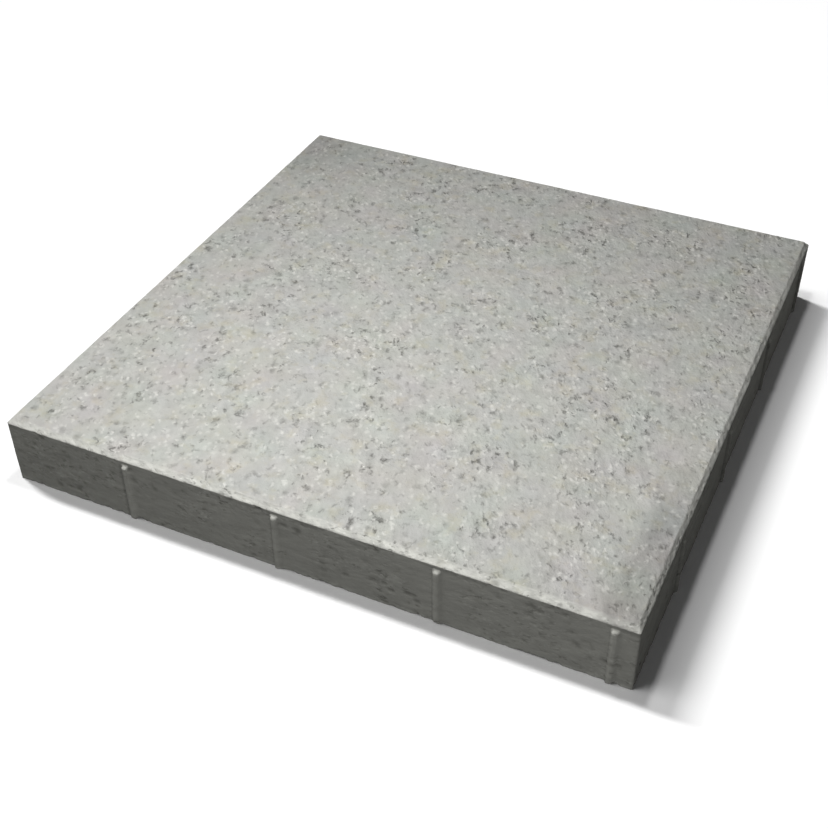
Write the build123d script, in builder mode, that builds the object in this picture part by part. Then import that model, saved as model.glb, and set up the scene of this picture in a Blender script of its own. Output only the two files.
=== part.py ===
"""Square concrete paving slab, pressed in one piece, with a bevelled wearing face and spacer nibs.

Millimetres, +Z up. The origin is the middle of the bed face, the face that lies on the sand.
"""
import os

from build123d import *

# Slab body
side = 498.0            # wall to opposite wall, the same both ways
thickness = 60.0        # bed face to wearing face
bevel_width = 3.7       # bevel round the wearing face, as seen from above
bevel_drop = 4.0        # the same bevel, as seen from the side
corner_round = 1.5      # radius of the upright corners and of the mitres above them

# Spacer nibs, the upright ribs that keep the joint open between neighbouring slabs
nib_stand = 2.0         # how far a nib stands out of the wall, which is the width of the joint
nib_foot = 7.0          # width of a nib where it leaves the wall
nib_face = 3.5          # width of its flat outer face
nib_round = 0.8         # radius of the two upright edges of that face
nib_clear = 3.5         # bare wall between the foot of the bevel and the head of a nib
nib_head_fall = 2.0     # how far the head slopes down from the wall to the outer face
nib_root = 2.0          # depth to which a nib is one with the body behind the wall
nibs_per_side = 4

# Place of the last nib on a wall, going to the right as seen from outside.
# Rows on opposite walls then miss each other where two slabs meet, and interleave.
front_end_margin = 16.5     # last nib's middle to the corner, on the front and back walls
flank_end_margin = 25.0     # the same, on the left and right walls

# Sizes that follow from the ones above
laying_module = side + nib_stand
nib_pitch = laying_module / nibs_per_side
nib_top = thickness - bevel_drop - nib_clear


def nib_places(end_margin):
    """Middles of one wall's nibs, measured along the wall from its own middle."""
    last_place = side / 2 - end_margin
    return [(0, last_place - step * nib_pitch) for step in range(nibs_per_side)]


# One spacer nib: its wall is the YZ plane, and it stands out along +X
head_slope = Plane(origin=(0, 0, nib_top), x_dir=(0, 1, 0), z_dir=(nib_head_fall, 0, nib_stand))
with BuildPart() as spacer_nib:
    with BuildSketch() as nib_section:
        with BuildLine():
            Polyline(
                (-nib_root, -nib_foot / 2),
                (0, -nib_foot / 2),
                (nib_stand, -nib_face / 2),
                (nib_stand, nib_face / 2),
                (0, nib_foot / 2),
                (-nib_root, nib_foot / 2),
                close=True,
            )
        make_face()
        fillet(nib_section.vertices().group_by(Axis.X)[-1], radius=nib_round)
    extrude(amount=nib_top)
    split(bisect_by=head_slope, keep=Keep.BOTTOM)

# The slab: a square block with a mitred bevel round its top, then the four rows of nibs
with BuildPart() as paving_slab:
    with BuildSketch():
        Rectangle(side, side)
    extrude(amount=thickness)
    wearing_face = paving_slab.faces().sort_by(Axis.Z)[-1]
    chamfer(wearing_face.edges(), length=bevel_width, length2=bevel_drop, reference=wearing_face)
    level_edges = paving_slab.edges().filter_by(Plane.XY)
    fillet(paving_slab.edges() - level_edges, radius=corner_round)

    for first_wall_angle, end_margin in ((-90, front_end_margin), (0, flank_end_margin)):
        with PolarLocations(side / 2, 2, start_angle=first_wall_angle):
            with Locations(*nib_places(end_margin)):
                add(spacer_nib.part)

paving_slab.part.label = "paving_slab"

os.makedirs("parts", exist_ok=True)
export_step(paving_slab.part, "parts/paving_slab.step")
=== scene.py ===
"""Dresses the packed model of a concrete paving slab: the worn slab itself, and a pale studio round it.

Metres, +Z up, in the packed model's own frame. The origin is the middle of the bed face, -Y is out of
the front wall and +X is out of the right wall.
"""
import math

import bpy
import numpy as np
from bpy.props import FloatProperty, FloatVectorProperty, IntProperty, PointerProperty
from mathutils import Matrix, Vector, noise


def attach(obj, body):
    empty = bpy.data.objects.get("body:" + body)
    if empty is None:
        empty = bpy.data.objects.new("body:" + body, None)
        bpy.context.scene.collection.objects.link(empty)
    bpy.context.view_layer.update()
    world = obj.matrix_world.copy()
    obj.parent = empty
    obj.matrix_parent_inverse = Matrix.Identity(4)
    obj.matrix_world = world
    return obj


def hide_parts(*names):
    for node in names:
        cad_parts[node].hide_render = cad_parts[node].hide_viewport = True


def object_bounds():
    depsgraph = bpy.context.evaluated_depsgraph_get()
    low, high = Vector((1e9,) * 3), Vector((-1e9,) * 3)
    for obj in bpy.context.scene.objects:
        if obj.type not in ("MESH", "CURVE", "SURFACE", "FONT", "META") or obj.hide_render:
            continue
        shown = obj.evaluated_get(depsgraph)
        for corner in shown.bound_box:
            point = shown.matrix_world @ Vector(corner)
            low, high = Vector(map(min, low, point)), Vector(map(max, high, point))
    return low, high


bl_info = {
    "name": "Concrete paving slab",
    "version": (1, 0, 0),
    "blender": (4, 5, 0),
    "location": "3D View > Sidebar > Paving slab",
    "description": "Builds a vibro-pressed concrete paving slab and a pale studio round it",
    "category": "Add Mesh",
}

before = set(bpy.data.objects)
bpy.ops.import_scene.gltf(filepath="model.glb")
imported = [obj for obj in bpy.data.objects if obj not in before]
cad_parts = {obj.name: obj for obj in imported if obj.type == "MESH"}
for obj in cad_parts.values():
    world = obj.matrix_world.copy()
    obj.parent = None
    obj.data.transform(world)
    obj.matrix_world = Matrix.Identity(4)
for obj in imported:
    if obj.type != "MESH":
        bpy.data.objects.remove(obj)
cad_low, cad_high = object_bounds()

MM = 0.001
UP = Vector((0, 0, 1))
NIB_STAND = 2 * MM

# The four walls in ring order: along runs to the right as seen from outside, out points off the slab
WALLS = tuple(
    (Vector(along), Vector(out))
    for along, out in (
        ((1, 0, 0), (0, -1, 0)),    # front
        ((0, 1, 0), (1, 0, 0)),     # right
        ((-1, 0, 0), (0, 1, 0)),    # back
        ((0, -1, 0), (-1, 0, 0)),   # left
    )
)

# Points on the quarter turn of an upright corner, between its two ends
CORNER_SHARES = np.array([0.25, 0.5, 0.75])

# Steps along X, Y and Z from the noise of one seed to that of the next
SEED_STEPS = (7.31, 3.77, 5.13)

# Sockets of a Mix node that mixes two colours
MIX_SHARE, MIX_FIRST, MIX_SECOND, MIX_RESULT = 0, 6, 7, 2

# Camera: a long lens that looks down on the near right corner
CAMERA_PLACE = (0.35182, -0.79594, 0.68793)
CAMERA_TURN = math.radians(25.4)
CAMERA_DIP = math.radians(39.85)
CAMERA_ROLL = math.radians(-0.6)
CAMERA_LENS = 56.506


def linear(hex_colour):
    """An sRGB hex colour as linear red, green and blue."""
    channels = (int(hex_colour[place:place + 2], 16) / 255 for place in (1, 3, 5))
    return tuple(c / 12.92 if c <= 0.04045 else ((c + 0.055) / 1.055) ** 2.4 for c in channels)


def length(name, description, default):
    """A property that holds a length in metres."""
    return FloatProperty(
        name=name, description=description, default=default, min=0, precision=4,
        subtype="DISTANCE", unit="LENGTH",
    )


def tone(name, description, hex_colour):
    """A property that holds a colour."""
    return FloatVectorProperty(
        name=name, description=description, default=linear(hex_colour), min=0, max=1, subtype="COLOR",
    )


def power(name, description, default):
    """A property that holds a lamp's power in watts."""
    return FloatProperty(name=name, description=description, default=default, min=0, unit="POWER")


def strength(name, description, default):
    """A property that holds the strength of a light without a place."""
    return FloatProperty(name=name, description=description, default=default, min=0)


class SlabSizes(bpy.types.PropertyGroup):
    """Sizes of the slab as it leaves the mould"""

    side: length("Side", "Wall to opposite wall, without nibs", cad_high.x - cad_low.x - 2 * NIB_STAND)
    thickness: length("Thickness", "Bed face to wearing face", cad_high.z - cad_low.z)
    bevel_width: length("Bevel width", "Bevel round the wearing face, seen from above", 3.7 * MM)
    bevel_drop: length("Bevel drop", "The same bevel, seen from the side", 4 * MM)
    corner_round: length("Corner radius", "Radius of the upright corners", 1.5 * MM)
    nib_count: IntProperty(name="Nibs", description="Spacer nibs on each wall", default=4, min=1)
    nib_stand: length("Nib stand", "How far a spacer nib stands out of its wall", NIB_STAND)
    nib_foot: length("Nib foot", "Width of a nib where it leaves the wall", 7 * MM)
    nib_face: length("Nib face", "Width of a nib's outer face", 3.5 * MM)
    nib_blunt: length("Nib rounding", "How far the edges of that face are rounded off", 0.4 * MM)
    nib_top: length("Nib height", "Bed face to the head of a nib", 52.5 * MM)
    nib_pitch: length("Nib pitch", "Nib to nib along a wall", 125 * MM)
    front_margin: length("Front margin", "Last nib to corner, on the front and back walls", 16.5 * MM)
    flank_margin: length("Flank margin", "Last nib to corner, on the left and right walls", 25 * MM)
    face_step: length("Face mesh", "Distance between points of the wearing face", 2.25 * MM)
    wall_step: length("Wall mesh", "Distance between points of the walls", 2.4 * MM)
    edge_step: length("Edge mesh", "Distance between points along the bevel", 1.3 * MM)


class SlabWear(bpy.types.PropertyGroup):
    """How stripping the mould and handling have worn the slab"""

    wave_width: length("Wave width", "Width of the slow waves of every surface", 12 * MM)
    wave_depth: length("Wave depth", "Mean depth of those waves", 0.15 * MM)
    cluster_width: length("Pit clusters", "Width of the clusters in which the pits lie", 45 * MM)
    pit_width: length("Pit width", "Width of the larger pits", 7.5 * MM)
    pit_depth: length("Pit depth", "Depth of the larger pits", 0.8 * MM)
    chip_width: length("Chip width", "Width of the chips along the edges", 9 * MM)
    chip_depth: length("Chip depth", "Depth of those chips", 0.24 * MM)
    crumb_width: length("Crumb width", "Width of the crumbs lost from the edges", 2.6 * MM)
    crumb_depth: length("Crumb depth", "Depth of the holes that those crumbs leave", 0.13 * MM)
    nib_dent_width: length("Nib dent width", "Width of the dents in the nibs", 5 * MM)
    nib_dent_depth: length("Nib dent depth", "Depth of those dents", 0.28 * MM)
    foot_height: length("Foot height", "Height of the ragged foot of the walls", 2.5 * MM)
    foot_gap_width: length("Foot gap width", "Width of the gaps in that foot", 4.5 * MM)
    foot_gap_depth: length("Foot gap depth", "Depth of those gaps", 1.2 * MM)


class ConcreteFinish(bpy.types.PropertyGroup):
    """Colours and grain of the concrete"""

    face_tone: tone("Wearing face", "Cement skin of the wearing face", "#BABAB5")
    wall_tone: tone("Walls", "Darker skin that the mould leaves on the walls", "#90908A")
    # The edge colour also paints light along the foot of the walls
    arris_and_foot_light_tone: tone("Edges", "Pale concrete where the edges are broken", "#D3D3CC")
    # Painted shade at the bottom of the pores, pinholes and pits
    hole_shade_tone: tone("Holes", "Bottom of the pores, pinholes and pits", "#45443E")
    sand_tone: tone("Sand", "Beige sand that shows through the skin", "#B9B5A4")
    grit_tone: tone("Grit", "Single pale grains at the surface", "#EDECE6")
    patch_size: length("Skin patches", "Width of the patches where the skin is open or closed", 38 * MM)
    paste_size: length("Paste", "Width of the uneven lumps of cement paste", 8 * MM)
    pore_gap: length("Pore lines", "Distance between the lines that open pores follow", 7 * MM)
    pore_length: length("Pore length", "Length of an open pore along its line", 5.8 * MM)
    pinhole_gap: length("Pinholes", "Distance from pinhole to pinhole", 6.6 * MM)
    grain_gap: length("Grains", "Distance from one pale grain to the next", 4.1 * MM)
    bend_size: length("Bends", "Width of the bends in the outline of a pinhole or grain", 4.3 * MM)
    bend_reach: length("Bend reach", "How far those bends move the outline", 4.5 * MM)
    sand_size: length("Sand patches", "Width of the patches of sand", 14 * MM)
    tint_size: length("Tints", "Width of the faint differences of colour", 34 * MM)
    drag_size: length("Drags", "Length of the drag marks on the walls", 24 * MM)


class StudioLook(bpy.types.PropertyGroup):
    """Floor and light of the studio"""

    floor_tone: tone("Floor", "Colour of the floor", "#FAFAFA")
    bounce_tone: tone("Bounce", "Colour of the light that the floor throws back", "#2E2E2E")
    floor_reach: length("Floor reach", "Middle of the floor to its edge", 60)
    floor_near: length("Floor, near", "Distance from the middle where the floor begins to fade", 0.6)
    floor_far: length("Floor, far", "Distance from the middle where it is plain white", 1.8)
    key_power: power("Key lamp", "Soft lamp over the slab", 5.65)
    front_power: power("Front lamp", "Low lamp on the front wall", 3.4)
    back_power: power("Back lamp", "Low lamp on the back and left walls", 4.5)
    floor_power: power("Floor lamp", "Large lamp far overhead, for the floor alone", 14300)
    floor_top_power: power("Floor top lamp", "Small lamp over the slab, for the floor alone", 4.4)
    floor_fill: strength("Floor fill", "Strength of the slanting light for the floor alone", 0.97)
    fill: strength("Fill", "Strength of the even light from all round", 0.08)


GROUPS = {
    "slab_sizes": SlabSizes,
    "slab_wear": SlabWear,
    "concrete_finish": ConcreteFinish,
    "studio_look": StudioLook,
}


def ease(low, high, value):
    """0 up to low, 1 from high, and a smooth rise between."""
    share = min(max((value - low) / (high - low), 0), 1)
    return share * share * (3 - 2 * share)


def lumps(point, width, seed):
    """Smooth noise, about -1 to 1, whose lumps are about as wide as width. A seed picks its pattern."""
    return noise.noise(point / width + Vector([seed * step for step in SEED_STEPS]))


def wall_spots(sizes, wall, straight, step, with_nibs):
    """Places of the points along one wall, measured from its middle.

    With each place come its share of a nib's stand, and how much paler it is: rubbed pale on the face
    of a nib, painted light on its right flank, and below 0 for painted shade at its left foot."""
    spots = np.linspace(-straight, straight, max(1, round(2 * straight / step)) + 1)
    stands = np.zeros(len(spots))
    rubs_and_painted_light = np.zeros(len(spots))
    if not with_nibs:
        return spots, stands, rubs_and_painted_light

    foot, face, blunt = sizes.nib_foot / 2, sizes.nib_face / 2, sizes.nib_blunt
    # Painted light on the right flank of a nib and painted shade at its left foot; its face is rubbed pale
    flank_share, foot_shade_share = 0.82, -1.6
    nib_spots = np.array([-foot, -face - blunt, -face + blunt, 0, face - blunt, face + blunt, foot])
    nib_stands = np.array([0, flank_share, 1, 1, 1, flank_share, 0])
    nib_rubs_and_painted_light = np.array([foot_shade_share, 0, 1, 1, 1, flank_share, 0])
    margin = sizes.flank_margin if wall % 2 else sizes.front_margin
    for count in range(sizes.nib_count):
        middle = sizes.side / 2 - margin - count * sizes.nib_pitch
        clear = abs(spots - middle) > foot + step / 4
        spots = np.concatenate([spots[clear], middle + nib_spots])
        stands = np.concatenate([stands[clear], nib_stands])
        rubs_and_painted_light = np.concatenate([rubs_and_painted_light[clear], nib_rubs_and_painted_light])
    order = np.argsort(spots)
    return spots[order], stands[order], rubs_and_painted_light[order]


def slab_rings(sizes):
    """The slab as square rings of points, from the middle of the bed face out, up the walls, over the
    bevel and in to the middle of the wearing face.

    Each ring is its half width, its height, the distance between its points, and how far its nibs stand
    out, from 0 to 1, or None for a ring without points for them."""
    half = sizes.side / 2
    head_foot = sizes.nib_top - sizes.nib_stand
    bevel_foot = sizes.thickness - sizes.bevel_drop

    # Bed face: wide rings, then two that lead over to the points of the walls
    bed_margin, bed_rings, bed_step = 12 * MM, 15, 14 * MM
    lead_margin, lead_step, last_margin = 5 * MM, 6 * MM, 2 * MM
    for width in np.linspace(bed_margin, half - bed_margin, bed_rings):
        yield width, 0, bed_step, None
    yield half - lead_margin, 0, lead_step, None
    yield half - last_margin, 0, sizes.wall_step, 0

    # Walls: up to the heads of the nibs, over these, and up to the bevel
    foot_ring, wall_rings = 1 * MM, 21
    for height in (0, foot_ring, *np.linspace(sizes.wall_step, head_foot, wall_rings)):
        yield half, height, sizes.wall_step, 1
    head_middle, above_head = head_foot + sizes.nib_stand / 2, sizes.nib_top + 0.8 * MM
    for height in (head_middle, sizes.nib_top, above_head):
        yield half, height, sizes.wall_step, max(0, (sizes.nib_top - height) / sizes.nib_stand)
    rim_low, rim_rings = sizes.nib_top + 1.7 * MM, 3
    for height in np.linspace(rim_low, bevel_foot, rim_rings):
        yield half, height, sizes.edge_step, None

    # Bevel
    for share in (0.2, 0.4, 0.6, 0.8, 1):
        width, height = half - share * sizes.bevel_width, bevel_foot + share * sizes.bevel_drop
        yield width, height, sizes.edge_step, None

    # Wearing face: rings that widen away from the bevel, then even ones
    width = half - sizes.bevel_width
    for step_share in (0.4, 0.5, 0.6, 0.8):
        width -= step_share * sizes.face_step
        yield width, sizes.thickness, sizes.edge_step, None
    for width in np.arange(width - sizes.face_step, sizes.face_step, -sizes.face_step):
        yield width, sizes.thickness, sizes.face_step, None


def zip_rings(first, second, turn):
    """Triangles between two neighbouring rings, each a list of (point number, place round the ring).

    Their diagonals cross from place to place, as far as turn lets them, and leave no grain in the light."""
    triangles = []
    a = b = 0
    while a < len(first) or b < len(second):
        a_next, b_next = (a + 1) % len(first), (b + 1) % len(second)
        a_place = first[a_next][1] + len(WALLS) * (a + 1 == len(first))
        b_place = second[b_next][1] + len(WALLS) * (b + 1 == len(second))
        here, there = first[a % len(first)][0], second[b % len(second)][0]
        lean = turn if a % 2 else -turn
        if b == len(second) or (a < len(first) and a_place + lean <= b_place):
            triangles.append((here, first[a_next][0], there))
            a += 1
        else:
            triangles.append((here, second[b_next][0], there))
            b += 1
    return triangles


def ring_marks(sizes, half, height):
    """How much a ring is wearing face, broken edge, head of the nibs and painted light along the foot of
    the walls, from 0 to 1.
    """
    head_foot = sizes.nib_top - sizes.nib_stand
    bevel_foot = sizes.thickness - sizes.bevel_drop
    slack = 0.1 * MM
    edge_full, edge_gone = 2.2 * MM, 4.6 * MM
    head_share, head_fade = 0.55, 2 * MM
    foot_light_share, foot_full, foot_gone = 0.15, 1 * MM, 5 * MM

    on_face = float(height > bevel_foot - slack)
    near_edge = on_face * (1 - ease(edge_full, edge_gone, sizes.side / 2 - half))
    near_head = head_share * ease(head_foot - head_fade, head_foot, height) * (height <= sizes.nib_top)
    # Painted light: the foot of the walls paler, as if lit by light from the floor
    painted_foot_light = foot_light_share * (1 - ease(foot_full, foot_gone, height))
    return on_face, near_edge, near_head, painted_foot_light


def unworn_slab(sizes):
    """Points and faces of the slab as it leaves the mould, and the marks that each point carries: how
    much it is wearing face, broken edge with painted light along the foot of the walls, and nib, rubbed
    pale on its face with painted light on one flank and painted shade at one foot."""
    points, faces, rings, steps = [], [], [], []
    marks = {"face": [], "arris": [], "nib": []}
    sweep = CORNER_SHARES * math.pi / 2
    no_nib = [0] * len(CORNER_SHARES)

    for half, height, step, nib_reach in slab_rings(sizes):
        ring = []
        corner = min(sizes.corner_round, half / 2)
        straight = half - corner
        span = half if nib_reach is None else sizes.side / 2
        on_face, near_edge, near_head, painted_foot_light = ring_marks(sizes, half, height)

        for wall, (along, out) in enumerate(WALLS):
            spots, stands, rubs_and_painted_light = wall_spots(sizes, wall, straight, step, nib_reach is not None)
            reaches = half + np.minimum(stands, nib_reach or 0) * sizes.nib_stand
            alongs = [*spots, *(straight + corner * np.sin(sweep))]
            outs = [*reaches, *(straight + corner * np.cos(sweep))]
            shares = [*(spots / span), *((straight + CORNER_SHARES * corner) / half)]
            stands, rubs_and_painted_light = [*stands, *no_nib], [*rubs_and_painted_light, *no_nib]
            for spot, reach, share, stand, rub_and_painted_light in zip(alongs, outs, shares, stands, rubs_and_painted_light):
                ring.append((len(points), wall + 0.5 + share / 2))
                points.append(along * spot + out * reach + UP * height)
                marks["face"].append(on_face)
                # The edge mark also carries painted light along the foot of the walls
                marks["arris"].append(max(near_edge, near_head * stand, painted_foot_light))
                # The nib mark: rubbed pale face, painted light on the right flank, painted shade at the
                # left foot
                marks["nib"].append(min(rub_and_painted_light, nib_reach or 0))
        rings.append(ring)
        steps.append(step)

    # Only the coarser rings get crossed diagonals
    fine_step = 2 * MM
    for count, (first, second) in enumerate(zip(rings, rings[1:])):
        turn = 2 / max(len(first), len(second)) * (steps[count] > fine_step)
        faces += zip_rings(first, second, -turn if count % 2 else turn)
    faces.append([number for number, place in reversed(rings[0])])
    faces.append([number for number, place in rings[-1]])
    return points, faces, marks


def wear_at(point, sizes, wear, on_face, on_arris, on_nib):
    """How deep the slab is worn at a point, and how much painted shade its pit gets, from 0 to 1.

    Each kind of wear follows a noise of its own. It begins at the first of the two levels that ease gets,
    and is full at the second."""
    half = sizes.side / 2
    rim = sizes.thickness - sizes.bevel_drop

    # The bed face stays flat, up to its edge
    bed_margin = 1 * MM
    if point.z == 0 and half - max(abs(point.x), abs(point.y)) > bed_margin:
        return 0, 0

    # Pits lie in clusters. They are lower than wide on the walls, and keep off edges and upright corners
    wall_squeeze, arris_spared, face_pit_shade_share = 1.7, 0.75, 0.5
    corner_bare, corner_end = 1 * MM, 8 * MM
    pit_level, pit_rise = 0.42 if on_face else 0.3, 0.3
    cluster = ease(-0.25, 0.35, lumps(point, wear.cluster_width, seed=1))
    squeezed = Vector((point.x, point.y, wall_squeeze * point.z))
    pit = cluster * ease(pit_level, pit_level + pit_rise, lumps(squeezed, wear.pit_width, seed=2))
    pit *= 1 - arris_spared * on_arris
    if not on_face:
        pit *= ease(corner_bare, corner_end, half - min(abs(point.x), abs(point.y)))

    # Slow waves everywhere, dents in the nibs and gaps in the foot of the walls
    depth = wear.wave_depth * (1 + lumps(point, wear.wave_width, seed=3)) + pit * wear.pit_depth
    dent = ease(-0.1, 0.5, lumps(point, wear.nib_dent_width, seed=8))
    depth += wear.nib_dent_depth * max(on_nib, 0) * dent
    foot = 1 - ease(0, wear.foot_height, point.z)
    depth += foot * wear.foot_gap_depth * ease(-0.1, 0.6, lumps(point, wear.foot_gap_width, seed=9))

    # Chips and crumbs lost from the edges, less deep in the wall just under the bevel
    rim_share, rim_height = 0.6, 3 * MM
    under_rim = rim_share * ease(rim - rim_height, rim, point.z) * (1 - on_face)
    edge = max(on_arris, under_rim)
    if edge:
        chip = ease(0.3, 0.7, lumps(point, wear.chip_width, seed=4))
        crumb = ease(-0.3, 0.6, lumps(point, wear.crumb_width, seed=5))
        depth += edge * (wear.chip_depth * chip + wear.crumb_depth * crumb)
    return depth, pit * (face_pit_shade_share if on_face else 1)


def strip_and_painted_shade_at(point, sizes, on_face):
    """How much darker the slab is, from 0 to 1: a strip along the right edge by the near corner, painted
    shade round the far left corner, and broken strokes of painted shadow under the rim of the walls."""
    half = sizes.side / 2
    if on_face:
        # A darker strip along the right edge by the near corner
        strip_width, strip_taper, strip_blur = 31 * MM, 0.05, 9 * MM
        strip_fades, strip_ends = -170 * MM, -50 * MM
        bend_depth, bend_width = 5 * MM, 22 * MM
        bend = bend_depth * lumps(point, bend_width, seed=6)
        width = strip_width - strip_taper * (point.y + half)
        strip = 1 - ease(width - strip_blur, width + strip_blur, half - point.x + bend)
        strip *= 1 - ease(strip_fades, strip_ends, point.y)

        # Painted shade: the far left corner darker, as if less lit
        corner_share, corner_full, corner_gone = 0.75, 10 * MM, 120 * MM
        from_corner = math.hypot(point.x + half, point.y - half)
        corner = corner_share * (1 - ease(corner_full, corner_gone, from_corner))
        return max(strip, corner)

    # Painted shadow: broken dark strokes under the rim of the walls
    rim = sizes.thickness - sizes.bevel_drop
    stroke_length, stroke_squeeze = 26 * MM, 9
    stroke_begins, stroke_full = rim - 6 * MM, rim - 2 * MM
    squeezed = Vector((point.x, point.y, stroke_squeeze * point.z))
    stroke = ease(0, 0.4, lumps(squeezed, stroke_length, seed=7))
    return stroke * ease(stroke_begins, stroke_full, point.z)


def mesh_values(items, name, kind=float, width=1):
    """One value of every item of a mesh as an array, with a row for each item where width is over 1."""
    values = np.empty(len(items) * width, kind)
    items.foreach_get(name, values)
    return values if width == 1 else values.reshape(-1, width)


def bake_map(mesh, sizes, points):
    """A flat map of the whole slab: the wearing face and its bevel in one square, the front and back
    walls above it, the right and left walls beside it, and the bed face small in the corner."""
    half = sizes.side / 2
    face_share, wall_share, margin = 0.77, 0.105, 0.005
    facing_down = -0.9
    beside_face = face_share + 3 * margin
    scale = face_share / sizes.side
    counts = mesh_values(mesh.polygons, "loop_total", int)
    centres = np.repeat(mesh_values(mesh.polygons, "center", width=3), counts, axis=0)
    normals = np.repeat(mesh_values(mesh.polygons, "normal", width=3), counts, axis=0)
    corners = np.array(points)[mesh_values(mesh.loops, "vertex_index", int)]

    # The wearing face, then the walls and the bed face over it
    spots = margin + scale * (corners[:, :2] + half)
    on_face = centres[:, 2] > sizes.thickness - sizes.bevel_drop
    on_bed = normals[:, 2] < facing_down
    nearest = np.array([centres @ np.array(out) for along, out in WALLS]).argmax(axis=0)
    for wall, (along, out) in enumerate(WALLS):
        on_wall = ~on_face & ~on_bed & (nearest == wall)
        across = margin + scale * (corners[on_wall] @ np.array(along) + half)
        up = beside_face + (wall // 2) * wall_share + scale * corners[on_wall, 2]
        spots[on_wall] = np.stack([up, across] if wall % 2 else [across, up], axis=1)
    reach = half + sizes.nib_stand
    bed_scale = (1 - face_share - 5 * margin) / (2 * reach)
    spots[on_bed] = beside_face + bed_scale * (corners[on_bed, :2] + reach)

    mesh.uv_layers.new(name="OFBake").data.foreach_set("uv", spots.astype(np.float32).ravel())


def worn_slab(sizes, wear):
    """Mesh of the slab with all its wear, its flat map, and the marks that its finish reads."""
    points, faces, marks = unworn_slab(sizes)
    mesh = bpy.data.meshes.new("pressed_slab")
    mesh.from_pydata(points, [], faces)
    mesh.shade_smooth()
    bake_map(mesh, sizes, points)

    # Points only move into the slab, so it stays inside its own box
    normals = [normal.vector.copy() for normal in mesh.vertex_normals]
    places = zip(points, normals, marks["face"], marks["arris"], marks["nib"])
    worn, pits, strips_and_painted_shades = [], [], []
    for point, normal, on_face, on_arris, on_nib in places:
        depth, pit = wear_at(point, sizes, wear, on_face, on_arris, on_nib)
        worn.append(point - normal * depth)
        # Painted shade for the pit
        pits.append(pit)
        # A darker strip, painted shade and painted shadow
        strips_and_painted_shades.append(strip_and_painted_shade_at(point, sizes, on_face))
    mesh.vertices.foreach_set("co", np.array(worn, np.float32).ravel())

    for name, values in {**marks, "pit": pits, "strip_and_painted_shade": strips_and_painted_shades}.items():
        mesh.attributes.new(name, "FLOAT", "POINT").data.foreach_set("value", values)
    mesh.update()
    return mesh


def empty_tree(owner):
    """The node tree of a new material or world, with nothing in it."""
    owner.use_nodes = True
    owner.node_tree.nodes.clear()
    return owner.node_tree


def add_node(tree, kind, sockets=None, **settings):
    """Adds a node with its settings. A socket takes a value, or the output that is linked to it."""
    node = tree.nodes.new(kind)
    for name, value in settings.items():
        setattr(node, name, value)
    for name, value in (sockets or {}).items():
        if isinstance(value, bpy.types.NodeSocket):
            tree.links.new(value, node.inputs[name])
        else:
            node.inputs[name].default_value = value
    return node


def skin_openness(tree, finish, drawn, face, arris):
    """1 where the cement skin is open, less where it is closed: in patches on the wearing face, half
    open along the edges, and all but closed on the walls."""
    least = add_node(
        tree, "ShaderNodeMapRange",
        {"Value": face, "From Min": 0.0, "From Max": 1.0, "To Min": 0.12, "To Max": 0.56},
    ).outputs["Result"]
    patches = add_node(
        tree, "ShaderNodeTexNoise", {"Vector": drawn, "Scale": 1 / finish.patch_size, "Detail": 2.0},
    ).outputs["Fac"]
    openness = add_node(
        tree, "ShaderNodeMapRange",
        {"Value": patches, "From Min": 0.42, "From Max": 0.62, "To Min": least, "To Max": 1.0},
    ).outputs["Result"]
    edges = add_node(tree, "ShaderNodeMath", {0: arris, 1: 0.5}, operation="MULTIPLY").outputs[0]
    return add_node(tree, "ShaderNodeMath", {0: openness, 1: edges}, operation="MAXIMUM").outputs[0]


def open_pores(tree, finish, drawn, open_skin):
    """Pores, dragged into short bent strokes, and the noise that draws them: they are pieces of the
    lines along which that noise crosses its middle."""
    line_noise = add_node(
        tree, "ShaderNodeTexNoise",
        {
            "Vector": drawn, "Scale": 1 / finish.pore_gap, "Detail": 2.0,
            "Roughness": 0.55, "Distortion": 0.3,
        },
    ).outputs["Fac"]
    off_line = add_node(tree, "ShaderNodeMath", {0: line_noise, 1: 0.5}, operation="SUBTRACT").outputs[0]
    off_line = add_node(tree, "ShaderNodeMath", {0: off_line}, operation="ABSOLUTE").outputs[0]
    length_noise = add_node(
        tree, "ShaderNodeTexNoise", {"Vector": drawn, "Scale": 1 / finish.pore_length, "Detail": 2.0},
    ).outputs["Fac"]
    opening = add_node(
        tree, "ShaderNodeMapRange",
        {"Value": length_noise, "From Min": 0.54, "From Max": 0.68, "To Min": 0.0, "To Max": open_skin},
    ).outputs["Result"]
    pores = add_node(
        tree, "ShaderNodeMapRange",
        {"Value": off_line, "From Min": 0.1, "From Max": 0.01, "To Min": 0.0, "To Max": opening},
    ).outputs["Result"]
    return pores, line_noise


def scattered_marks(tree, place, gap, chance, size_channel, sizes, cover):
    """Single marks of uneven size in some cells of the mix.

    The cells are as wide as gap, and chance is the share of them that holds a mark. Its size, between the
    two given as shares of the cell, comes from one channel of the cell's own random colour. A mark fades
    in from its edge to its core, and cover is how strong it is there."""
    core = 0.06
    cells = add_node(tree, "ShaderNodeTexVoronoi", {"Vector": place, "Scale": 1 / gap})
    draws = add_node(tree, "ShaderNodeSeparateColor", {"Color": cells.outputs["Color"]})
    held = add_node(
        tree, "ShaderNodeMath", {0: draws.outputs["Red"], 1: chance}, operation="LESS_THAN",
    ).outputs[0]
    held = add_node(tree, "ShaderNodeMath", {0: held, 1: cover}, operation="MULTIPLY").outputs[0]
    smallest, largest = sizes
    edge = add_node(
        tree, "ShaderNodeMapRange",
        {
            "Value": draws.outputs[size_channel], "From Min": 0.0, "From Max": 1.0,
            "To Min": smallest, "To Max": largest,
        },
    ).outputs["Result"]
    return add_node(
        tree, "ShaderNodeMapRange",
        {
            "Value": cells.outputs["Distance"], "From Min": edge, "From Max": core,
            "To Min": 0.0, "To Max": held,
        },
    ).outputs["Result"]


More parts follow.
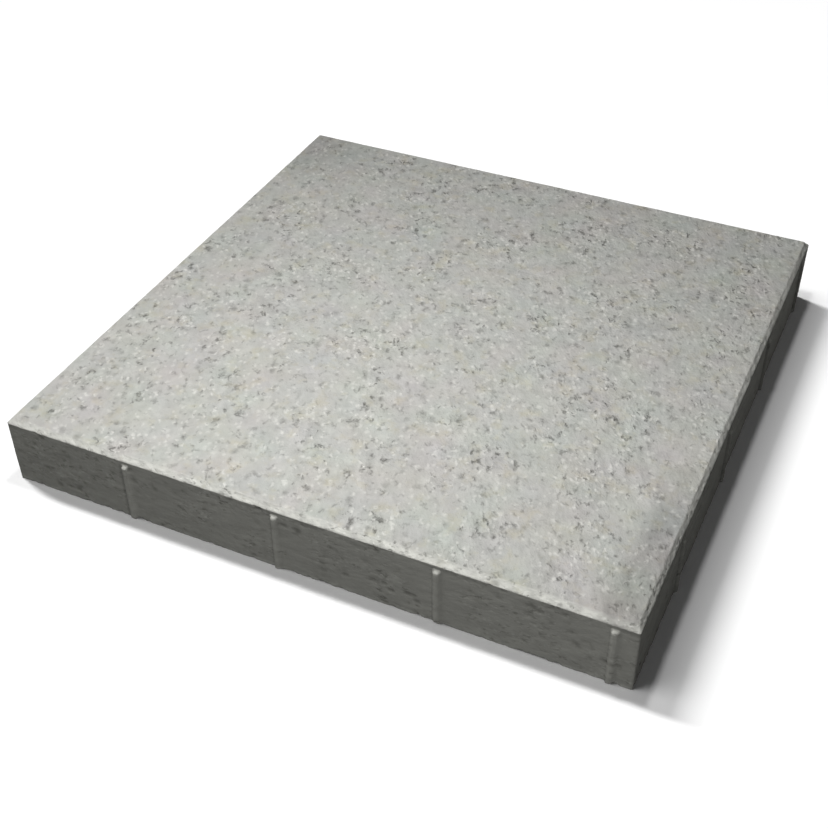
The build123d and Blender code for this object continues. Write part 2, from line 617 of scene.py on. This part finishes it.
def pinholes_and_grains(tree, finish, place, drawn, face, open_skin):
    """Pinholes and pale grains, both with bent outlines and most of them in open skin. The mould leaves
    few bare grains on the walls."""
    bends = add_node(
        tree, "ShaderNodeTexNoise", {"Vector": place, "Scale": 1 / finish.bend_size, "Detail": 1.0},
    ).outputs["Color"]
    bent = add_node(
        tree, "ShaderNodeVectorMath", {0: bends, 1: [finish.bend_reach] * 3, 2: drawn},
        operation="MULTIPLY_ADD",
    ).outputs[0]
    pinholes = scattered_marks(
        tree, bent, finish.pinhole_gap,
        chance=0.18, size_channel="Green", sizes=(0.22, 0.62), cover=open_skin,
    )

    bare = add_node(
        tree, "ShaderNodeMapRange",
        {"Value": face, "From Min": 0.0, "From Max": 1.0, "To Min": 0.3, "To Max": 1.0},
    ).outputs["Result"]
    bare = add_node(tree, "ShaderNodeMath", {0: bare, 1: open_skin}, operation="MULTIPLY").outputs[0]

    # Grains lie in cells of their own, so they are drawn from another place of the pattern
    elsewhere = add_node(
        tree, "ShaderNodeVectorMath", {0: bent, 1: (1, 2, 3)}, operation="ADD",
    ).outputs[0]
    grains = scattered_marks(
        tree, elsewhere, finish.grain_gap,
        chance=0.55, size_channel="Blue", sizes=(0.2, 0.6), cover=bare,
    )
    return pinholes, grains


def skin_colour(tree, finish, place, on_wall, broken):
    """Colour of the skin: grey with patches of sand and faint tints, darker on the walls and pale where
    the edges are broken, and pale along the foot of the walls as painted light."""
    sand_noise = add_node(
        tree, "ShaderNodeTexNoise",
        {"Vector": place, "Scale": 1 / finish.sand_size, "Detail": 3.0, "Roughness": 0.6},
    ).outputs["Fac"]
    sand = add_node(
        tree, "ShaderNodeMapRange",
        {"Value": sand_noise, "From Min": 0.54, "From Max": 0.72, "To Min": 0.0, "To Max": 0.6},
    ).outputs["Result"]
    colour = add_node(
        tree, "ShaderNodeMix",
        {MIX_SHARE: sand, MIX_FIRST: (*finish.face_tone, 1), MIX_SECOND: (*finish.sand_tone, 1)},
        data_type="RGBA",
    ).outputs[MIX_RESULT]
    tint_noise = add_node(
        tree, "ShaderNodeTexNoise", {"Vector": place, "Scale": 1 / finish.tint_size, "Detail": 1.0},
    ).outputs["Color"]
    tint_spread, least_tint = (0.11, 0.09, 0.08), (0.945, 0.955, 0.96)
    tint = add_node(
        tree, "ShaderNodeVectorMath", {0: tint_noise, 1: tint_spread, 2: least_tint},
        operation="MULTIPLY_ADD",
    ).outputs[0]
    colour = add_node(tree, "ShaderNodeVectorMath", {0: colour, 1: tint}, operation="MULTIPLY").outputs[0]
    for share, hue in ((on_wall, finish.wall_tone), (broken, finish.arris_and_foot_light_tone)):
        colour = add_node(
            tree, "ShaderNodeMix", {MIX_SHARE: share, MIX_FIRST: colour, MIX_SECOND: (*hue, 1)},
            data_type="RGBA",
        ).outputs[MIX_RESULT]
    return colour


def drag_marks(tree, finish, place):
    """Lighter and darker streaks, about 0, that the mould drags along the walls. They lie level and are
    four times as long as high."""
    squeezed = add_node(
        tree, "ShaderNodeVectorMath", {0: place, 1: (1, 1, 4)}, operation="MULTIPLY",
    ).outputs[0]
    streaks = add_node(
        tree, "ShaderNodeTexNoise",
        {
            "Vector": squeezed, "Scale": 1 / finish.drag_size, "Detail": 2.0,
            "Roughness": 0.5, "Distortion": 0.4,
        },
    ).outputs["Fac"]
    return add_node(
        tree, "ShaderNodeMapRange",
        {"Value": streaks, "From Min": 0.3, "From Max": 0.7, "To Min": -0.07, "To Max": 0.07},
    ).outputs["Result"]


def vibro_pressed_concrete(finish):
    """Concrete shaken and pressed into a steel mould and stripped at once.

    That makes it dead matt. The wearing face has a thin grey cement skin, closed in some patches and open
    in others, with pores, pinholes, pale grains and beige sand. The mould leaves the walls darker and
    smoother, with faint level drag marks, and every broken edge is pale. Colour also stands in for light
    and shade: painted light along the foot of the walls and on one flank of each nib, painted shade in
    the holes, at one foot of each nib and round the far left corner, and painted shadow under the rim
    of the walls.

    Most real pores, pinholes and grains are under 1 mm and too fine to show in the render, so they are
    drawn two to four times as coarse."""
    material = bpy.data.materials.new("Vibro-pressed concrete")
    tree = empty_tree(material)
    place = add_node(tree, "ShaderNodeTexCoord").outputs["Object"]
    face, arris, nib, strip_and_painted_shade, pit = (
        add_node(tree, "ShaderNodeAttribute", attribute_name=name).outputs["Fac"]
        for name in ("face", "arris", "nib", "strip_and_painted_shade", "pit")
    )
    on_wall = add_node(tree, "ShaderNodeMath", {0: 1.0, 1: face}, operation="SUBTRACT").outputs[0]

    # The filling box travels at a slant over the mould and draws the marks longer that way. On the walls
    # the mould draws them level
    slant = math.radians(25)
    drawn = add_node(
        tree, "ShaderNodeMapping",
        {"Vector": place, "Rotation": (0, 0, slant), "Scale": (1, 1.3, 0.55)},
        vector_type="TEXTURE",
    ).outputs["Vector"]
    paste = add_node(
        tree, "ShaderNodeTexNoise",
        {"Vector": drawn, "Scale": 1 / finish.paste_size, "Detail": 3.0, "Roughness": 0.6},
    ).outputs["Fac"]
    open_skin = skin_openness(tree, finish, drawn, face, arris)
    pores, pore_noise = open_pores(tree, finish, drawn, open_skin)
    pinholes, grit = pinholes_and_grains(tree, finish, place, drawn, face, open_skin)

    # Edges are broken more here and less there
    broken = add_node(
        tree, "ShaderNodeMapRange",
        {"Value": pore_noise, "From Min": 0.36, "From Max": 0.54, "To Min": 0.4, "To Max": 1.0},
    ).outputs["Result"]
    broken = add_node(tree, "ShaderNodeMath", {0: arris, 1: broken}, operation="MULTIPLY").outputs[0]
    colour = skin_colour(tree, finish, place, on_wall, broken)

    # Lighter and darker: lumps of paste, drag marks on the walls, a darker strip on the wearing face with
    # painted shade in the far left corner and painted shadow under the rim of the walls, and nibs rubbed
    # pale on their faces with painted light on one flank and painted shade at one foot
    clouds = add_node(
        tree, "ShaderNodeMapRange",
        {"Value": paste, "From Min": 0.25, "From Max": 0.75, "To Min": -0.18, "To Max": 0.18},
    ).outputs["Result"]
    drags = drag_marks(tree, finish, place)
    level = 1.0
    for share, amount in ((open_skin, clouds), (on_wall, drags), (strip_and_painted_shade, -0.24), (nib, 0.14)):
        level = add_node(
            tree, "ShaderNodeMath", {0: share, 1: amount, 2: level}, operation="MULTIPLY_ADD",
        ).outputs[0]
    colour = add_node(tree, "ShaderNodeVectorMath", {0: colour, 1: level}, operation="MULTIPLY").outputs[0]

    # Pale grains over all of that, and painted shade in the pores, pinholes and pits
    for share, amount, hue in (
        (grit, 0.58, finish.grit_tone), (pores, 0.64, finish.hole_shade_tone),
        (pinholes, 0.53, finish.hole_shade_tone), (pit, 0.48, finish.hole_shade_tone),
    ):
        cover = add_node(tree, "ShaderNodeMath", {0: share, 1: amount}, operation="MULTIPLY").outputs[0]
        colour = add_node(
            tree, "ShaderNodeMix", {MIX_SHARE: cover, MIX_FIRST: colour, MIX_SECOND: (*hue, 1)},
            data_type="RGBA",
        ).outputs[MIX_RESULT]

    # Relief in millimetres, flatter on the walls and along the edges
    height = add_node(tree, "ShaderNodeMath", {0: paste, 1: 2.8}, operation="MULTIPLY").outputs[0]
    for share, amount in ((pores, -0.9), (pinholes, -0.8), (grit, 0.4)):
        height = add_node(
            tree, "ShaderNodeMath", {0: share, 1: amount, 2: height}, operation="MULTIPLY_ADD",
        ).outputs[0]
    relief = add_node(
        tree, "ShaderNodeMapRange",
        {"Value": face, "From Min": 0.0, "From Max": 1.0, "To Min": 0.2, "To Max": open_skin},
    ).outputs["Result"]
    relief = add_node(
        tree, "ShaderNodeMapRange",
        {"Value": arris, "From Min": 0.0, "From Max": 1.0, "To Min": relief, "To Max": 0.5},
    ).outputs["Result"]
    normal = add_node(
        tree, "ShaderNodeBump", {"Height": height, "Distance": 1 * MM, "Strength": relief},
    ).outputs["Normal"]

    # Cement paste has an IOR of about 1.5, and its open pores swallow most of the gloss
    shader = add_node(
        tree, "ShaderNodeBsdfPrincipled",
        {
            "Base Color": colour, "Normal": normal,
            "Roughness": 0.92, "IOR": 1.5, "Specular IOR Level": 0.2,
        },
    )
    add_node(tree, "ShaderNodeOutputMaterial", {"Surface": shader.outputs[0]})
    return material


def seen_directly(tree):
    """1 where the camera sees a surface, also by a reflection or through glass, and 0 where the surface
    only throws light."""
    path = add_node(tree, "ShaderNodeLightPath")
    seen = path.outputs["Is Camera Ray"]
    for other in ("Is Glossy Ray", "Is Transmission Ray"):
        seen = add_node(
            tree, "ShaderNodeMath", {0: seen, 1: path.outputs[other]}, operation="MAXIMUM",
        ).outputs[0]
    return seen


def matt_floor_paint(studio):
    """Rolled matt emulsion: an even near-white without any sheen.

    It throws less light back than it shows, and far from the slab it runs out into the studio's white."""
    material = bpy.data.materials.new("Matt white floor paint")
    tree = empty_tree(material)
    seen = seen_directly(tree)
    colour = add_node(
        tree, "ShaderNodeMix",
        {MIX_SHARE: seen, MIX_FIRST: (*studio.bounce_tone, 1), MIX_SECOND: (*studio.floor_tone, 1)},
        data_type="RGBA",
    ).outputs[MIX_RESULT]
    paint = add_node(tree, "ShaderNodeBsdfDiffuse", {"Color": colour}).outputs[0]
    white = add_node(
        tree, "ShaderNodeEmission", {"Color": (1, 1, 1, 1), "Strength": seen},
    ).outputs[0]
    place = add_node(tree, "ShaderNodeTexCoord").outputs["Object"]
    distance = add_node(tree, "ShaderNodeVectorMath", {0: place}, operation="LENGTH").outputs["Value"]
    far = add_node(
        tree, "ShaderNodeMapRange",
        {
            "Value": distance, "From Min": studio.floor_near, "From Max": studio.floor_far,
            "To Min": 0.0, "To Max": 1.0,
        },
        interpolation_type="SMOOTHSTEP",
    ).outputs["Result"]
    surface = add_node(tree, "ShaderNodeMixShader", {0: far, 1: paint, 2: white})
    add_node(tree, "ShaderNodeOutputMaterial", {"Surface": surface.outputs[0]})
    return material


def studio_world(studio):
    """White all round to the camera, which gives the slab only a little even light."""
    world = bpy.data.worlds.new("Studio")
    tree = empty_tree(world)
    glow = add_node(
        tree, "ShaderNodeMapRange",
        {
            "Value": seen_directly(tree), "From Min": 0.0, "From Max": 1.0,
            "To Min": studio.fill, "To Max": 1.0,
        },
    ).outputs["Result"]
    sky = add_node(tree, "ShaderNodeBackground", {"Color": (1, 1, 1, 1), "Strength": glow})
    add_node(tree, "ShaderNodeOutputWorld", {"Surface": sky.outputs[0]})
    return world


def add_floor(context, studio):
    """Adds the floor, level with the bed face."""
    reach = studio.floor_reach
    corners = [(-reach, -reach, 0), (reach, -reach, 0), (reach, reach, 0), (-reach, reach, 0)]
    mesh = bpy.data.meshes.new("floor")
    mesh.from_pydata(corners, [], [(0, 1, 2, 3)])
    mesh.materials.append(matt_floor_paint(studio))
    floor = bpy.data.objects.new("floor", mesh)
    context.collection.objects.link(floor)
    return floor


def add_lamp(context, name, kind, energy, place, aim, **settings):
    """Adds a lamp that stands at place and points at aim."""
    lamp = bpy.data.lights.new(name, kind)
    lamp.energy = energy
    for setting, value in settings.items():
        setattr(lamp, setting, value)
    lamp_object = bpy.data.objects.new(name, lamp)
    lamp_object.location = place
    lamp_object.rotation_euler = (Vector(aim) - Vector(place)).to_track_quat("-Z", "Y").to_euler()
    context.collection.objects.link(lamp_object)
    return lamp_object


def add_lamps(context, studio, floor):
    """Adds the lamps: the first three light all but the floor, the others the floor alone."""
    slab_lamps = (
        add_lamp(
            context, "key_lamp", "AREA", studio.key_power,
            place=(-0.08, -0.27, 0.77), aim=(0, 0, 0.06), shape="DISK", size=0.24,
        ),
        add_lamp(
            context, "front_lamp", "AREA", studio.front_power,
            place=(0.24, -1.25, 0.25), aim=(0.24, 0, 0.06), shape="SQUARE", size=0.3,
        ),
        add_lamp(
            context, "back_lamp", "AREA", studio.back_power,
            place=(-0.85, 1.0, 0.13), aim=(0, 0, 0.03), shape="SQUARE", size=0.2,
        ),
    )
    floor_lamps = (
        add_lamp(
            context, "floor_lamp", "AREA", studio.floor_power,
            place=(-23.2, 6.6, 32), aim=(-23.2, 6.6, 0), shape="RECTANGLE", size=16, size_y=3.2,
        ),
        add_lamp(
            context, "floor_top_lamp", "AREA", studio.floor_top_power,
            place=(-0.03, -0.02, 1.32), aim=(-0.03, -0.02, 0), shape="DISK", size=0.14,
        ),
        add_lamp(
            context, "floor_fill_lamp", "SUN", studio.floor_fill,
            place=(-0.34, -0.16, 0.6), aim=(0, 0, 0), angle=math.radians(28),
        ),
    )
    for name, lamps, state in (
        ("all_but_floor", slab_lamps, "EXCLUDE"), ("floor_alone", floor_lamps, "INCLUDE"),
    ):
        receivers = bpy.data.collections.new(name)
        receivers.objects.link(floor)
        receivers.collection_objects[0].light_linking.link_state = state
        for lamp in lamps:
            lamp.light_linking.receiver_collection = receivers


def add_camera(context):
    """Adds the camera and makes it the scene's own."""
    camera = bpy.data.cameras.new("camera")
    camera.lens = CAMERA_LENS
    turned = (
        Matrix.Rotation(CAMERA_TURN, 4, "Z")
        @ Matrix.Rotation(math.pi / 2 - CAMERA_DIP, 4, "X")
        @ Matrix.Rotation(CAMERA_ROLL, 4, "Z")
    )
    camera_object = bpy.data.objects.new("camera", camera)
    camera_object.matrix_world = Matrix.Translation(CAMERA_PLACE) @ turned
    context.collection.objects.link(camera_object)
    context.scene.camera = camera_object


class PAVING_OT_slab(bpy.types.Operator):
    """Builds the pressed slab with its bevel, its spacer nibs and its worn, pitted faces"""

    bl_idname = "paving.slab"
    bl_label = "Pressed slab"

    def execute(self, context):
        scene = context.scene
        mesh = worn_slab(scene.slab_sizes, scene.slab_wear)
        mesh.materials.append(vibro_pressed_concrete(scene.concrete_finish))
        slab = bpy.data.objects.new("pressed_slab", mesh)
        context.collection.objects.link(slab)
        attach(slab, "root")
        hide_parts("paving_slab")
        return {"FINISHED"}


class PAVING_OT_studio(bpy.types.Operator):
    """Sets the floor, the lamps and the camera"""

    bl_idname = "paving.studio"
    bl_label = "Studio"

    def execute(self, context):
        studio = context.scene.studio_look
        context.scene.view_settings.view_transform = "Standard"
        context.scene.world = studio_world(studio)
        floor = add_floor(context, studio)
        add_lamps(context, studio, floor)
        add_camera(context)
        return {"FINISHED"}


class PAVING_PT_sidebar(bpy.types.Panel):
    """Sizes, wear, colours and light of the slab, and the buttons that build it"""

    bl_idname = "PAVING_PT_sidebar"
    bl_label = "Concrete paving slab"
    bl_space_type = "VIEW_3D"
    bl_region_type = "UI"
    bl_category = "Paving slab"

    def draw(self, context):
        for name, kind in GROUPS.items():
            group = getattr(context.scene, name)
            box = self.layout.box()
            box.label(text=kind.__doc__)
            for setting in kind.__annotations__:
                box.prop(group, setting)
        for operator in (PAVING_OT_slab, PAVING_OT_studio):
            self.layout.operator(operator.bl_idname)


CLASSES = (*GROUPS.values(), PAVING_OT_slab, PAVING_OT_studio, PAVING_PT_sidebar)


def register():
    """Registers the classes, and gives each scene their settings."""
    for kind in CLASSES:
        bpy.utils.register_class(kind)
    for name, group in GROUPS.items():
        setattr(bpy.types.Scene, name, PointerProperty(type=group))


def unregister():
    """Takes away what register gave."""
    for name in GROUPS:
        delattr(bpy.types.Scene, name)
    for kind in reversed(CLASSES):
        bpy.utils.unregister_class(kind)


def main():
    """Builds the slab and its studio."""
    register()
    bpy.ops.paving.slab()
    bpy.ops.paving.studio()


if __name__ == "__main__":
    main()
